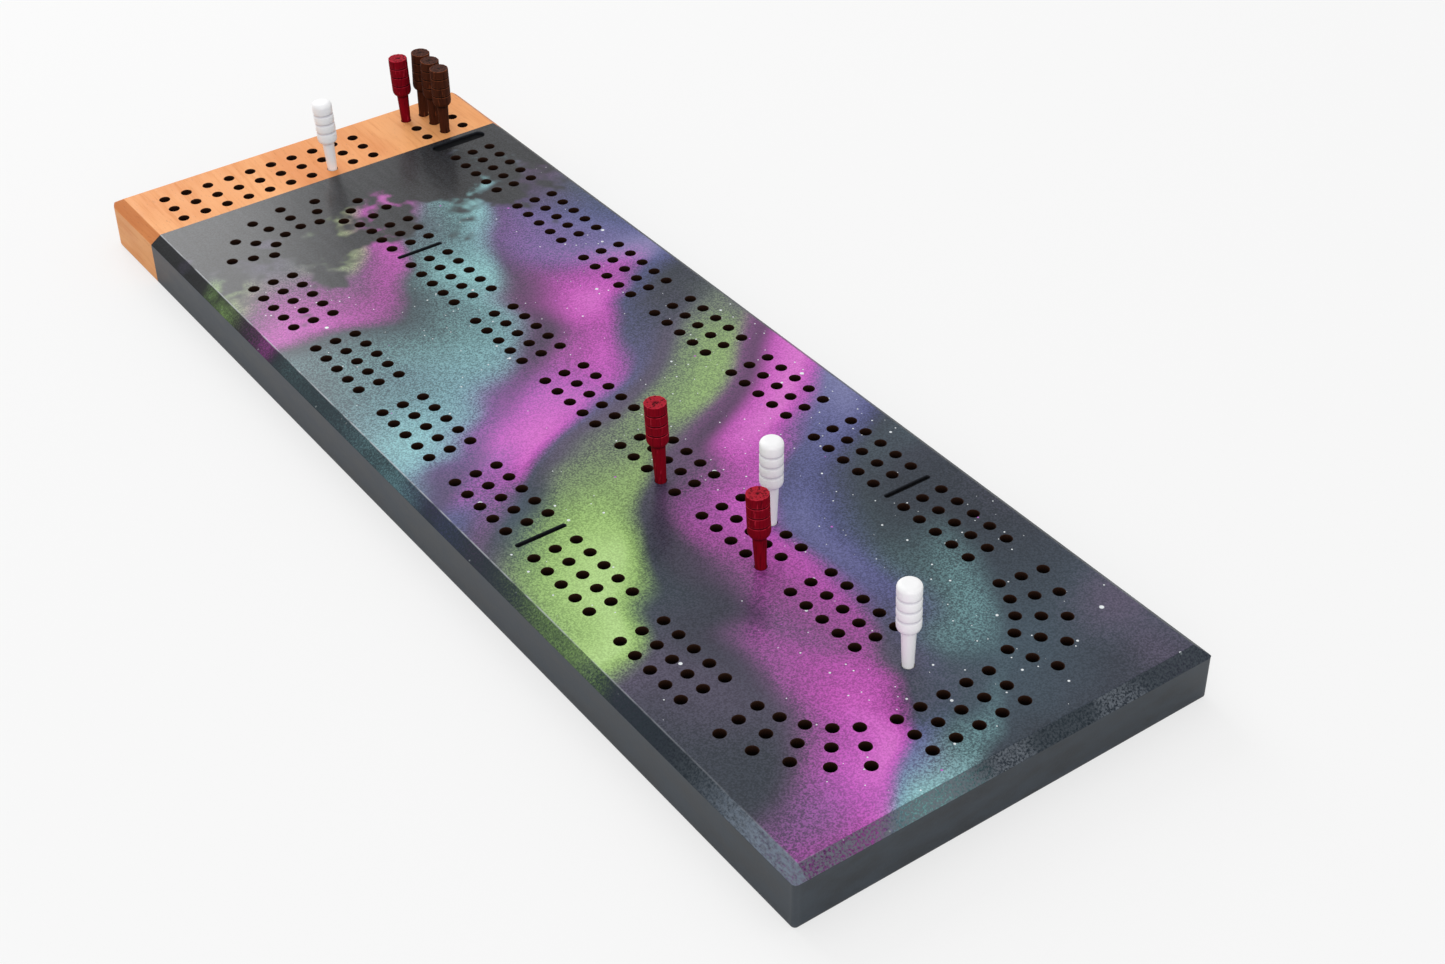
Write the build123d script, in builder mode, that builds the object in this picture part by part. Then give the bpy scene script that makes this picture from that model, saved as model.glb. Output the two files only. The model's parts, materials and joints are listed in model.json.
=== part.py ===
"""Cribbage board: one chamfered plank with three tracks of holes, and nine lathe-turned pegs.

Frame: millimetres, +Z up, origin at the middle of the plank's underside. The bare wooden end, which holds
the game-count and storage holes, points to +Y. The first lane of the tracks lies on the +X side.
"""

import os
from math import cos, degrees, radians, sin

from build123d import *

# ---- Plank ----------------------------------------------------------------------------------------------
board_length = 356.0
board_width = 126.0
board_thickness = 16.0
corner_radius = 2.0
top_chamfer = 3.2
bottom_round = 0.6
bare_end = 30.5  # length left unpainted at the far end; the tracks keep to the painted rest

# ---- Drilled holes --------------------------------------------------------------------------------------
hole_diameter = 3.2
hole_floor = 4.5  # wood left under every hole

# ---- Tracks: three abreast, their rows in groups of five ------------------------------------------------
track_pitch = 6.35
row_pitch = 6.35
rows_per_group = 5
lane_margin = 19.0  # side of the plank to the middle of the lane beside it

start_gap = 12.9  # paint line to the first row
first_lane_groups = 7
near_turn_radius = 34.0
near_turn_margin = 19.1  # near end of the plank to the rows that cross it
near_turn_lead = 7.2  # straight rows to either end of the near turn
near_arc_lead = 6.2  # end of the near turn to its first row
crossing_pitch = 7.0  # rows of the straight crossing between the two quarter turns
second_lane_groups = 6
far_turn_margin = 15.0  # paint line to the crown of the far turn
far_turn_lead = 8.2  # second lane's last row to the start of the far turn
far_arc_lead = 7.6  # start of the far turn to its first row
climb_step = 22.7  # degrees between the rows that go up the far turn
descent_step = 21.0  # degrees between the rows that come down it
descent_rows = 3  # rows of that group that still lie on the turn
home_gap = 11.6  # far turn's last row to the first row of the home lane
home_lane_groups = 6
finish_margin = 38.4  # near end of the plank to the finish hole

# ---- Engraved marks -------------------------------------------------------------------------------------
mark_length = 15.0
mark_width = 1.5
mark_depth = 1.0
rows_between_marks = 30
start_mark_width = 3.2
start_mark_gap = 8.5  # start mark to the first row

# ---- Game-count and storage holes, in the bare end ------------------------------------------------------
end_rows = 3
end_row_pitch = 7.0
end_row_inset = 18.7  # far end of the plank to the middle row
count_columns = 10
count_pitch = 7.4
count_inset = 13.6  # side of the plank to the first column
store_columns = 3
store_pitch = 6.7

# ---- Pegs -----------------------------------------------------------------------------------------------
head_length = 11.1
white_head_length = 12.2
head_diameter = 6.1
white_head_diameter = 6.3
shoulder_length = 1.8
shaft_length = 20.6
shaft_taper = 0.036  # radius gained for each millimetre up the shaft
peg_clearance = 0.05  # shaft to hole wall, at the hole's mouth
tip_chamfer = 0.3
rim_chamfer = 0.3
dome_radius = 1.8  # rounded rim of the white pegs
grooves = 3
first_groove = 2.0  # foot of the head to the lowest groove
groove_pitch = 3.1
groove_depth = 0.28

# ---- Derived --------------------------------------------------------------------------------------------
hole_radius = hole_diameter / 2
hole_depth = board_thickness - hole_floor
top_plane = Plane.XY.offset(board_thickness)
near_end = -board_length / 2
paint_line = board_length / 2 - bare_end

lane_offset = board_width / 2 - lane_margin
start_y = paint_line - start_gap
near_turn_x = lane_offset - near_turn_radius
near_turn_y = near_end + near_turn_margin + near_turn_radius
far_turn_radius = lane_offset / 2
far_turn_y = paint_line - far_turn_margin - far_turn_radius
straight_descent_rows = rows_per_group - descent_rows
home_start_y = far_turn_y - straight_descent_rows * row_pitch - home_gap
finish_y = near_end + finish_margin
home_pitch = (home_start_y - finish_y) / home_lane_groups  # the finish hole takes a next group's place
group_span = (rows_per_group - 1) * row_pitch


# ---- Rows of the tracks ---------------------------------------------------------------------------------
# A row is a location on the middle track. Its own X axis runs across the tracks, towards the outer one.
def row_at(x, y, turn):
    """One row, turned about the vertical by so many degrees."""
    return Location((x, y, 0), (0, 0, turn))


def lane(x, first_y, last_y, groups, turn):
    """A straight lane, whose first and last groups start at first_y and last_y."""
    group_step = (last_y - first_y) / (groups - 1)
    row_step = row_pitch if group_step > 0 else -row_pitch
    starts = [first_y + group * group_step for group in range(groups)]
    return [row_at(x, start + row * row_step, turn) for start in starts for row in range(rows_per_group)]


def bend(x, y, radius, angles):
    """Rows on a turn about the point x, y, at the given angles."""
    return [row_at(x + radius * cos(radians(a)), y + radius * sin(radians(a)), a) for a in angles]


# The near turn: its rows keep the full row pitch on the innermost track.
near_first = degrees(near_arc_lead / near_turn_radius)
near_step = degrees(row_pitch / (near_turn_radius - track_pitch))
near_angles = [near_first + row * near_step for row in range(rows_per_group)]
near_left = [angle - 180 for angle in reversed(near_angles)]
near_right = [-angle for angle in near_angles]
crossing_y = near_turn_y - near_turn_radius
crossing_x = [((rows_per_group - 1) / 2 - row) * crossing_pitch for row in range(rows_per_group)]

# The far turn: one group climbs it, and the next comes down and runs on into the home lane.
climb_first = 180 - degrees(far_arc_lead / far_turn_radius)
climb_angles = [climb_first - row * climb_step for row in range(rows_per_group)]
descent_angles = [(descent_rows - 1 - row) * descent_step for row in range(descent_rows)]
descent_y = [far_turn_y - (row + 1) * row_pitch for row in range(straight_descent_rows)]

first_lane_end = near_turn_y + near_turn_lead + group_span
second_lane_end = far_turn_y - far_turn_lead - group_span
rows = lane(lane_offset, start_y, first_lane_end, first_lane_groups, 0)
rows += bend(near_turn_x, near_turn_y, near_turn_radius, near_right)
rows += [row_at(x, crossing_y, -90) for x in crossing_x]
rows += bend(-near_turn_x, near_turn_y, near_turn_radius, near_left)
rows += lane(-lane_offset, near_turn_y + near_turn_lead, second_lane_end, second_lane_groups, 180)
rows += bend(-far_turn_radius, far_turn_y, far_turn_radius, climb_angles)
rows += bend(-far_turn_radius, far_turn_y, far_turn_radius, descent_angles)
rows += [row_at(0, y, 0) for y in descent_y]
rows += lane(0, home_start_y, finish_y + home_pitch, home_lane_groups, 0)


# ---- Hole places ----------------------------------------------------------------------------------------
outer, middle, inner = 1, 0, -1


def on_track(row, track):
    """The hole of one row that lies on one track."""
    return row * Location((track * track_pitch, 0, 0))


def end_block(middle_x, columns, pitch):
    """Holes of a block in the bare end: a list for each column, from the near row to the far one."""
    first_x = middle_x - (columns - 1) / 2 * pitch
    first_y = board_length / 2 - end_row_inset - (end_rows - 1) / 2 * end_row_pitch
    column_x = [first_x + column * pitch for column in range(columns)]
    row_y = [first_y + row * end_row_pitch for row in range(end_rows)]
    return [[Location((x, y, 0)) for y in row_y] for x in column_x]


track_holes = [on_track(row, track) for row in rows for track in (outer, middle, inner)]
finish_hole = row_at(0, finish_y, 0)
count_middle_x = -board_width / 2 + count_inset + (count_columns - 1) / 2 * count_pitch
count_block = end_block(count_middle_x, count_columns, count_pitch)
store_block = end_block(lane_offset, store_columns, store_pitch)
holes = track_holes + [finish_hole] + sum(count_block, []) + sum(store_block, [])


def mark_places():
    """Half-way between the rows before and after each mark, across the tracks."""
    places = []
    for count in range(rows_between_marks, len(rows), rows_between_marks):
        before, after = rows[count - 1], rows[count]
        places.append(Location((before.position + after.position) / 2, before.orientation))
    return places


# ---- Board ----------------------------------------------------------------------------------------------
with BuildPart() as board:
    with BuildSketch():
        Rectangle(board_width, board_length)
    extrude(amount=board_thickness)
    chamfer(board.edges().group_by(Axis.Z)[-1], length=top_chamfer)
    with BuildSketch():
        RectangleRounded(board_width, board_length, corner_radius)
    extrude(amount=board_thickness, mode=Mode.INTERSECT)
    fillet(board.edges().group_by(Axis.Z)[0], radius=bottom_round)

    with BuildSketch(top_plane):
        with Locations(*mark_places()):
            SlotOverall(mark_length, mark_width)
        with Locations((lane_offset, start_y + start_mark_gap)):
            SlotOverall(mark_length, start_mark_width)
    extrude(amount=-mark_depth, mode=Mode.SUBTRACT)

    with Locations((0, 0, board_thickness)):
        with Locations(*holes):
            Hole(hole_radius, hole_depth)


# ---- Pegs -----------------------------------------------------------------------------------------------
def turned_peg(hole, tip_gap, head_radius, head_height, domed):
    """A peg that stands in its hole, wedged by its taper with its tip so far above the hole's floor."""
    shaft_in_hole = hole_depth - tip_gap
    tip_radius = hole_radius - peg_clearance - shaft_taper * shaft_in_hole
    neck_radius = tip_radius + shaft_taper * shaft_length
    head_start = shaft_length + shoulder_length
    peg_length = head_start + head_height
    tip = Vector(hole.position.X, hole.position.Y, hole_floor + tip_gap)

    with BuildPart() as peg:
        with BuildSketch(Plane(origin=tip, x_dir=(1, 0, 0), z_dir=(0, -1, 0))) as half:
            with BuildLine():
                shaft = [(0, 0), (tip_radius, 0), (neck_radius, shaft_length)]
                head = [(head_radius, head_start), (head_radius, peg_length), (0, peg_length)]
                Polyline(*shaft, *head, close=True)
            make_face()
            chamfer(half.vertices().group_by(Axis.Y)[0].sort_by(Axis.X)[-1], length=tip_chamfer)
            rim = half.vertices().group_by(Axis.Y)[-1].sort_by(Axis.X)[-1]
            if domed:
                fillet(rim, radius=dome_radius)
            else:
                chamfer(rim, length=rim_chamfer)
            groove_heights = [head_start + first_groove + n * groove_pitch for n in range(grooves)]
            with Locations(*[(head_radius, height) for height in groove_heights]):
                RegularPolygon(groove_depth, 4, mode=Mode.SUBTRACT)
        revolve(axis=Axis(tip, (0, 0, 1)))
    return peg


def plain_peg(hole, tip_gap):
    """A red or brown peg: its head is cut square and its rim just broken."""
    return turned_peg(hole, tip_gap, head_diameter / 2, head_length, False)


def white_peg(hole, tip_gap):
    """A white peg: thick paint makes its head wider and taller, with a rounded rim."""
    return turned_peg(hole, tip_gap, white_head_diameter / 2, white_head_length, True)


# The home-lane pegs stand 12, 6 and 8 points short of the finish hole, which a white peg has reached.
pegs = {
    "peg_red_1": plain_peg(on_track(rows[-12], inner), 3.2),
    "peg_red_2": plain_peg(on_track(rows[-6], inner), 1.2),
    "peg_red_3": plain_peg(store_block[0][-1], 0.8),
    "peg_white_1": white_peg(on_track(rows[-8], outer), 3.2),
    "peg_white_2": white_peg(finish_hole, 2.3),
    "peg_white_3": white_peg(count_block[-3][0], 0.8),
}
for number, hole in enumerate(store_block[1], 1):
    pegs[f"peg_brown_{number}"] = plain_peg(hole, 0.8)

# ---- Files ----------------------------------------------------------------------------------------------
os.makedirs("parts", exist_ok=True)
board.part.label = "board"
export_step(board.part, "parts/board.step")
for name, peg in pegs.items():
    peg.part.label = name
    export_step(peg.part, f"parts/{name}.step")
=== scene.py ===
# %% [markdown]
# # A painted cribbage board and its nine pegs
# The board is one plank with a routed chamfer, drilled for three tracks of scoring holes. Most of it
# is airbrushed and coated; one end stays bare wood and holds the game-count and storage holes. The
# solid model gives the main sizes and every place, so this lesson reads them from it, and adds the
# small forms and the finishes.

# %% Open the solid model
import json
from math import atan2, cos, hypot, pi, radians, sin

import bpy
from mathutils import Matrix, Vector

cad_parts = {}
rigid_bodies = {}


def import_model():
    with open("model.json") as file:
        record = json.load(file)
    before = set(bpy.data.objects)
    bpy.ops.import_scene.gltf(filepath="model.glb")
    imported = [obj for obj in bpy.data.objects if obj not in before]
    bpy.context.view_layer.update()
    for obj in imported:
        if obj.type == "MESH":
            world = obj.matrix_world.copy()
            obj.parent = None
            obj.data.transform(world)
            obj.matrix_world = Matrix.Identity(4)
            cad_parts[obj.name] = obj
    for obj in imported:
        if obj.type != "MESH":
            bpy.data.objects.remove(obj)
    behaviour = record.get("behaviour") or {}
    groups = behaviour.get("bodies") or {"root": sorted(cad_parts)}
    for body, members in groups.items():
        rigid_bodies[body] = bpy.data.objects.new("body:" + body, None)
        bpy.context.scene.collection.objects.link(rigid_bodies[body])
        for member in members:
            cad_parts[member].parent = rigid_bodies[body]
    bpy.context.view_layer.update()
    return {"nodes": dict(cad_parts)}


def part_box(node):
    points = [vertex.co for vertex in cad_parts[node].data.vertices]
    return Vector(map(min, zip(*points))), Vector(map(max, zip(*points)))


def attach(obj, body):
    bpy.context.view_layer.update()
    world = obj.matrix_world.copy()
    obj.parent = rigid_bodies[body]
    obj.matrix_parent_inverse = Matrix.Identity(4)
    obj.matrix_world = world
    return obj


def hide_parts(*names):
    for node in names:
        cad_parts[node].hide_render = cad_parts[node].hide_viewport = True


for leftover in list(bpy.data.objects):
    bpy.data.objects.remove(leftover)
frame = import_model()
MM = 0.001
CLOSE = 1e-6  # two places nearer than this are one place
GRID = 1e-5  # places are rounded to this before they are grouped
print("solid parts:", sorted(frame["nodes"]))

# %% [markdown]
# ## Small helpers
# Operators act on whatever is selected, and the solid model arrives selected. So each step starts by
# clearing the selection, and faces, edges and points are chosen in code, by where they are.

# %% Choose one object, and choose parts of its mesh
def object_mode():
    """Leaves edit mode, if it is on."""
    if bpy.context.mode != "OBJECT":
        bpy.ops.object.mode_set(mode="OBJECT")


def only(obj):
    """Makes obj the one selected and active object, in object mode."""
    object_mode()
    bpy.ops.object.select_all(action="DESELECT")
    obj.select_set(True)
    bpy.context.view_layer.objects.active = obj


def pick(obj, kind, test):
    """Selects the points, edges or faces of obj that pass the test, and nothing else."""
    only(obj)
    bpy.ops.object.mode_set(mode="EDIT")
    bpy.ops.mesh.select_mode(type=kind)
    bpy.ops.mesh.select_all(action="DESELECT")
    bpy.ops.object.mode_set(mode="OBJECT")
    mesh = obj.data
    items = {"VERT": mesh.vertices, "EDGE": mesh.edges, "FACE": mesh.polygons}[kind]
    for item in items:
        if kind == "EDGE":
            item.select = test(*[mesh.vertices[v].co for v in item.vertices])
        else:
            item.select = test(item)
    bpy.ops.object.mode_set(mode="EDIT")


def take_name(name):
    """Names the active object and puts its place into its mesh."""
    obj = bpy.context.active_object
    obj.name = obj.data.name = name
    bpy.ops.object.transform_apply(location=True, rotation=True, scale=True)
    return obj


def apply_modifier(obj, kind, **settings):
    """Adds one modifier, sets it up and applies it."""
    only(obj)
    modifier = obj.modifiers.new(kind.title(), kind)
    for name, value in settings.items():
        setattr(modifier, name, value)
    bpy.ops.object.modifier_apply(modifier=modifier.name)


# %% [markdown]
# ## Measure the plank
# The floors of the holes and of the engraved lines are level patches in the solid's mesh. Each patch's
# box gives a hole's middle, or an engraved line's middle, length and width.

# %% Find the level patches at one height
def level_patches(mesh, height):
    """Boxes (low, high) of the separate level patches of a mesh at one height."""
    owner = {}

    def root(key):
        while owner[key] != key:
            key = owner[key]
        return key

    places = [v.co for v in mesh.vertices]
    for face in mesh.polygons:
        if all(abs(places[v].z - height) < GRID for v in face.vertices):
            keys = [tuple(round(c / GRID) for c in places[v]) for v in face.vertices]
            for key in keys:
                owner.setdefault(key, key)
            for key in keys[1:]:
                owner[root(key)] = root(keys[0])
    patches = {}
    for key in owner:
        patches.setdefault(root(key), []).append(key)
    corners = [(tuple(map(min, zip(*keys))), tuple(map(max, zip(*keys)))) for keys in patches.values()]
    return sorted((Vector(low) * GRID, Vector(high) * GRID) for low, high in corners)


# %% Measure the plank, its holes and its engraved lines
low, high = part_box("board")
width, length, thickness = high - low
line_depth, hole_depth = 1 * MM, 11.5 * MM
solid_mesh = frame["nodes"]["board"].data
levels = sorted({round(v.co.z, 5) for v in solid_mesh.vertices})
line_floor = thickness - line_depth
hole_floor = min(levels, key=lambda z: abs(z - (thickness - hole_depth)))
holes = level_patches(solid_mesh, hole_floor)
hole_radius = (holes[0][1].x - holes[0][0].x) / 2
hole_middles = [(a + b) / 2 for a, b in holes]
lines = level_patches(solid_mesh, line_floor)
print(f"plank {width / MM:.0f} x {length / MM:.0f} x {thickness / MM:.0f} mm")
print(len(holes), "holes of radius", round(hole_radius / MM, 2), "mm;", len(lines), "engraved lines")

# %% [markdown]
# ## The plank
# A real plank is sawn, then a chamfer is cut round its top edge by hand, so it is a little deeper along
# one side than along the other. The cube is shaped the same way: its top edges are bevelled, which
# gives mitred corners, and the lower corners of the bevel are raised by different amounts. Then it is
# intersected with a block whose upright corners are round, more so at the bare end, which was sanded
# again after painting. Softening every edge a little makes it catch the light.

# %% Chamfer the sawn plank
chamfer, left_depth, right_depth = 3.5 * MM, 2.4 * MM, 3.2 * MM
bpy.ops.object.select_all(action="DESELECT")
bpy.ops.mesh.primitive_cube_add(size=1, location=(0, 0, thickness / 2), scale=(width, length, thickness))
plank = take_name("plank")
pick(plank, "EDGE", lambda a, b: min(a.z, b.z) > thickness - CLOSE)
bpy.ops.mesh.bevel(offset=chamfer, offset_type="OFFSET", segments=1)
for side, depth in ((-1, left_depth), (1, right_depth)):
    pick(plank, "VERT", lambda v: abs(v.co.z - (thickness - chamfer)) < CLOSE and v.co.x * side > 0)
    bpy.ops.transform.translate(value=(0, 0, chamfer - depth))
object_mode()
print("chamfered plank:", len(plank.data.polygons), "faces")

# %% Round its upright corners
near_corner, bare_corner = 1.2 * MM, 3.5 * MM
block_height = 1.5 * thickness
bpy.ops.object.select_all(action="DESELECT")
bpy.ops.mesh.primitive_cube_add(size=1, location=(0, 0, thickness / 2), scale=(width, length, block_height))
block = take_name("block")


def upright(a, b):
    return abs(a.z - b.z) > thickness


for end, corner_radius in ((-1, near_corner), (1, bare_corner)):
    pick(block, "EDGE", lambda a, b: upright(a, b) and min(a.y * end, b.y * end) > length / 2 - CLOSE)
    bpy.ops.mesh.bevel(offset=corner_radius, offset_type="OFFSET", segments=6)
object_mode()
apply_modifier(plank, "BOOLEAN", operation="INTERSECT", object=block, solver="EXACT")
bpy.data.objects.remove(block)
print("plank with round corners:", len(plank.data.polygons), "faces")

# %% Round the bottom edge and soften the others
bottom_round, softening = 0.6 * MM, 0.22 * MM
pick(plank, "EDGE", lambda a, b: max(a.z, b.z) < CLOSE)
bpy.ops.mesh.bevel(offset=bottom_round, offset_type="OFFSET", segments=4)
object_mode()
apply_modifier(plank, "BEVEL", width=softening, segments=2, limit_method="ANGLE", angle_limit=radians(26))
print("softened plank:", len(plank.data.polygons), "faces")

# %% [markdown]
# ## Where the paint stops
# The painter masked the bare end with tape, so paint and wood share one flush surface. A bisect cut
# along that line lets each side of it have its own finish.

# %% Cut the surface along the masking line
bare_length = 30.5 * MM
paint_line = high.y - bare_length
pick(plank, "FACE", lambda face: True)
bpy.ops.mesh.bisect(plane_co=(0, paint_line, 0), plane_no=(0, 1, 0))
object_mode()


def finish_of(face):
    """The finish of a face, by its place and by the way it faces."""
    if face.center.y > paint_line:
        return "wood_end_grain" if face.normal.y > 0.5 else "bare_wood"
    return "painted_top" if face.normal.z > 0.5 else "painted_side"


surface_finishes = ["painted_top", "painted_side", "bare_wood", "wood_end_grain"]
for finish in surface_finishes + ["drilled_wood", "engraved_line"]:
    plank.data.materials.append(bpy.data.materials.new(finish))
for face in plank.data.polygons:
    face.material_index = surface_finishes.index(finish_of(face))
for number, finish in enumerate(surface_finishes):
    print(finish, "has", sum(face.material_index == number for face in plank.data.polygons), "faces")

# %% [markdown]
# ## Drill the holes and engrave the lines
# One drill bit is modelled, with a slight flare where the wood breaks at the rim, and copied to every
# hole. It has few sides, because it is repeated four hundred times. Joined into one cutter, the bits
# drill the plank in a single boolean step, and leave their own dark finish on the walls.

# %% Model the drill bit
flare, past_top, bit_sides = 0.13 * MM, 1 * MM, 24
bpy.ops.object.select_all(action="DESELECT")
bpy.ops.mesh.primitive_circle_add(
    vertices=bit_sides, radius=hole_radius, fill_type="NGON", location=(0, 0, hole_floor)
)
bit = take_name("bit")
pick(bit, "FACE", lambda face: True)
for rise, widen in ((thickness - flare - hole_floor, 1), (flare, 1 + flare / hole_radius), (past_top, 1)):
    bpy.ops.mesh.extrude_region_move(TRANSFORM_OT_translate={"value": (0, 0, rise)})
    bpy.ops.transform.resize(value=(widen, widen, 1))
bpy.ops.mesh.select_all(action="SELECT")
bpy.ops.mesh.normals_make_consistent(inside=False)
object_mode()
bit.data.materials.append(plank.data.materials["drilled_wood"])
print("drill bit:", len(bit.data.polygons), "faces")

# %% Copy it to every hole
bits = []
for middle in hole_middles:
    copy = bit.copy()
    copy.data = bit.data.copy()
    copy.data.transform(Matrix.Translation((middle.x, middle.y, 0)))
    bpy.context.scene.collection.objects.link(copy)
    bits.append(copy)
bpy.data.objects.remove(bit)


# %% Model a cutter for each engraved line
def line_cutter(patch):
    """A slot cutter: a round-ended bar with its floor at the line's floor."""
    a, b = patch
    middle = (a + b) / 2
    radius, reach = (b.y - a.y) / 2, (b.x - a.x) / 2
    bpy.ops.object.select_all(action="DESELECT")
    bpy.ops.mesh.primitive_circle_add(
        vertices=bit_sides, radius=radius, fill_type="NGON", location=(middle.x, middle.y, line_floor)
    )
    bar = take_name("bar")
    for side in (-1, 1):
        pick(bar, "VERT", lambda v: (v.co.x - middle.x) * side > GRID)
        bpy.ops.transform.translate(value=(side * (reach - radius), 0, 0))
        object_mode()
    for rise, grow in ((thickness - flare - line_floor, 0), (flare, flare), (past_top, 0)):
        object_mode()
        top = max(v.co.z for v in bar.data.vertices)
        pick(bar, "FACE", lambda face: all(bar.data.vertices[v].co.z > top - CLOSE for v in face.vertices))
        bpy.ops.mesh.extrude_region_move(TRANSFORM_OT_translate={"value": (0, 0, rise)})
        if grow:
            bpy.ops.transform.resize(value=(1 + grow / reach, 1 + grow / radius, 1))
    bpy.ops.mesh.select_all(action="SELECT")
    bpy.ops.mesh.normals_make_consistent(inside=False)
    object_mode()
    bar.data.materials.append(plank.data.materials["engraved_line"])
    return bar


slot_overrun, slot_widening = 2 * MM, 1 * MM  # the start slot was routed freehand, past its marks
start_slot = max(lines, key=lambda patch: patch[1].y - patch[0].y)
start_slot[0].x -= slot_overrun
start_slot[1].x += slot_overrun
start_slot[1].y += slot_widening
bars = [line_cutter(patch) for patch in lines]
print(len(bits), "bits and", len(bars), "bars")

# %% Drill and engrave
only(bits[0])
for cutter in bits + bars:
    cutter.select_set(True)
bpy.ops.object.join()
cutter = bpy.context.active_object
apply_modifier(
    plank, "BOOLEAN", operation="DIFFERENCE", object=cutter, solver="EXACT", material_mode="TRANSFER"
)
bpy.data.objects.remove(cutter)
only(plank)
bpy.ops.object.shade_smooth_by_angle(angle=radians(32))
apply_modifier(plank, "WEIGHTED_NORMAL", keep_sharp=True, weight=100)
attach(plank, "board")
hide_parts("board")
print("drilled plank:", len(plank.data.polygons), "faces; finishes", [m.name for m in plank.data.materials])

# %% [markdown]
# ## The pegs
# Each peg was turned on a lathe: a tapered shaft, a short shoulder, and a thick head with three
# grooves for the fingers. So each kind is built like a turning, ring by ring from the tip upwards,
# once, and then copied. The white ones carry thick paint that rounds every edge and makes the head a
# little taller; the red and brown ones are cut crisper, with a flat top of open end grain. A "shade"
# value is stored on each ring: 1 at the bottom of a groove, 0 on an open band and -1 on a lip, so that
# the finish can paint shade into the grooves, at the tip and under the head, and a pale line on the
# lips that is partly wear and partly painted highlight.

# %% Sizes of a peg
def peg_sizes(node):
    """Middle, tip height, top height and head radius of one solid peg."""
    a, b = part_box(node)
    return (a.x + b.x) / 2, (a.y + b.y) / 2, a.z, b.z, (b.x - a.x) / 2


shaft, shoulder, taper = 20.6 * MM, 1.8 * MM, 0.036
first_groove, groove_step, grooves = 2.0 * MM, 3.1 * MM, 3
head_foot = shaft + shoulder
_, _, tip, top, plain_radius = peg_sizes("peg_red_1")
plain_length = top - tip
_, _, tip, top, white_radius = peg_sizes("peg_white_1")
white_length = top - tip
print(f"plain peg {plain_length / MM:.1f} mm, head {plain_radius * 2 / MM:.1f} mm")
print(f"white peg {white_length / MM:.1f} mm, head {white_radius * 2 / MM:.1f} mm")


# %% The profile of a turned peg
def shaft_rings(tip_radius):
    """(height, radius, shade) from the tip to the foot of the shoulder."""
    neck = tip_radius + taper * shaft
    return [
        (0.0, tip_radius - 0.3 * MM, 0.6),
        (0.12 * MM, tip_radius - 0.12 * MM, 0.5),
        (0.35 * MM, tip_radius, 0.3),
        (shaft * 0.25, tip_radius + taper * shaft * 0.25, 0.1),
        (shaft * 0.5, tip_radius + taper * shaft * 0.5, 0.0),
        (shaft * 0.75, tip_radius + taper * shaft * 0.75, 0.0),
        (shaft - 1.2 * MM, neck - 0.05 * MM, 0.15),
        (shaft, neck, 0.8),
    ]


def shoulder_rings(neck, head, bow):
    """A rounded shoulder: a quarter curve that bows outwards from the shaft to the head."""
    rings, steps = [], 6
    for step in range(1, steps + 1):
        angle = pi / 2 * step / steps
        height = shaft + shoulder * (1 - cos(angle))
        rings.append((height, neck + (head - neck) * sin(angle) ** bow, 0.42 - 0.07 * step))
    return rings


def sharp_groove(height, head):
    """A groove cut with a pointed tool: two lips marked for a pale line, partly wear and partly painted
    highlight, and a bottom marked for painted shade.
    """
    lower = [(-0.42, 0, 0), (-0.3, 0, -1), (-0.14, 0.18, 0.7)]  # rise and cut in millimetres, shade
    upper = [(-rise, cut, shade) for rise, cut, shade in reversed(lower)]
    rings = lower + [(0, 0.3, 1)] + upper
    return [(height + rise * MM, head - cut * MM, shade) for rise, cut, shade in rings]


def soft_groove(height, head):
    """The same groove under thick paint: wide, shallow and round."""
    rings, steps = [], 4
    for step in range(-steps, steps + 1):
        cut = 0.5 + 0.5 * cos(pi * step / steps)
        rings.append((height + step * 0.17 * MM, head - 0.2 * MM * cut, cut))
    return rings


def head_rings(head, groove):
    """The grooved part of a head, up to its last groove."""
    rings = []
    for n in range(grooves):
        middle = head_foot + first_groove + n * groove_step
        rings += groove(middle, head)
        rings.append((middle + groove_step / 2, head, 0.0))
    return rings


plain_rings = shaft_rings(1.12 * MM) + shoulder_rings(1.84 * MM, plain_radius, 0.62)
plain_rings += head_rings(plain_radius, sharp_groove)
print(len(plain_rings), "rings below the rim of a plain peg")


# %% Turn one peg from its profile
peg_sides = 48


def turn_peg(name, rings, cap):
    """Extrudes and widens a circle ring by ring, then closes the top over its cap rings."""
    bpy.ops.object.select_all(action="DESELECT")
    bpy.ops.mesh.primitive_circle_add(
        vertices=peg_sides, radius=rings[0][1], fill_type="NGON", location=(0, 0, 0)
    )
    peg = take_name(name)
    pick(peg, "FACE", lambda face: True)
    height, radius = rings[0][:2]
    for next_height, next_radius, _ in rings[1:] + cap:
        bpy.ops.mesh.extrude_region_move(TRANSFORM_OT_translate={"value": (0, 0, next_height - height)})
        bpy.ops.transform.resize(value=(next_radius / radius, next_radius / radius, 1))
        height, radius = next_height, next_radius
    bpy.ops.mesh.merge(type="CENTER")
    bpy.ops.mesh.select_all(action="SELECT")
    bpy.ops.mesh.normals_make_consistent(inside=False)
    object_mode()
    shade = peg.data.attributes.new("shade", "FLOAT", "POINT")
    end = peg.data.attributes.new("end_grain", "FLOAT", "POINT")
    stations = rings + cap
    for v in peg.data.vertices:
        r = hypot(v.co.x, v.co.y)
        nearest = min(stations, key=lambda s: abs(s[0] - v.co.z) + abs(s[1] - r))
        shade.data[v.index].value = nearest[2]
        end.data[v.index].value = float(v.co.z > cap[1][0] - CLOSE and r < cap[1][1] + CLOSE)
    return peg


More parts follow.
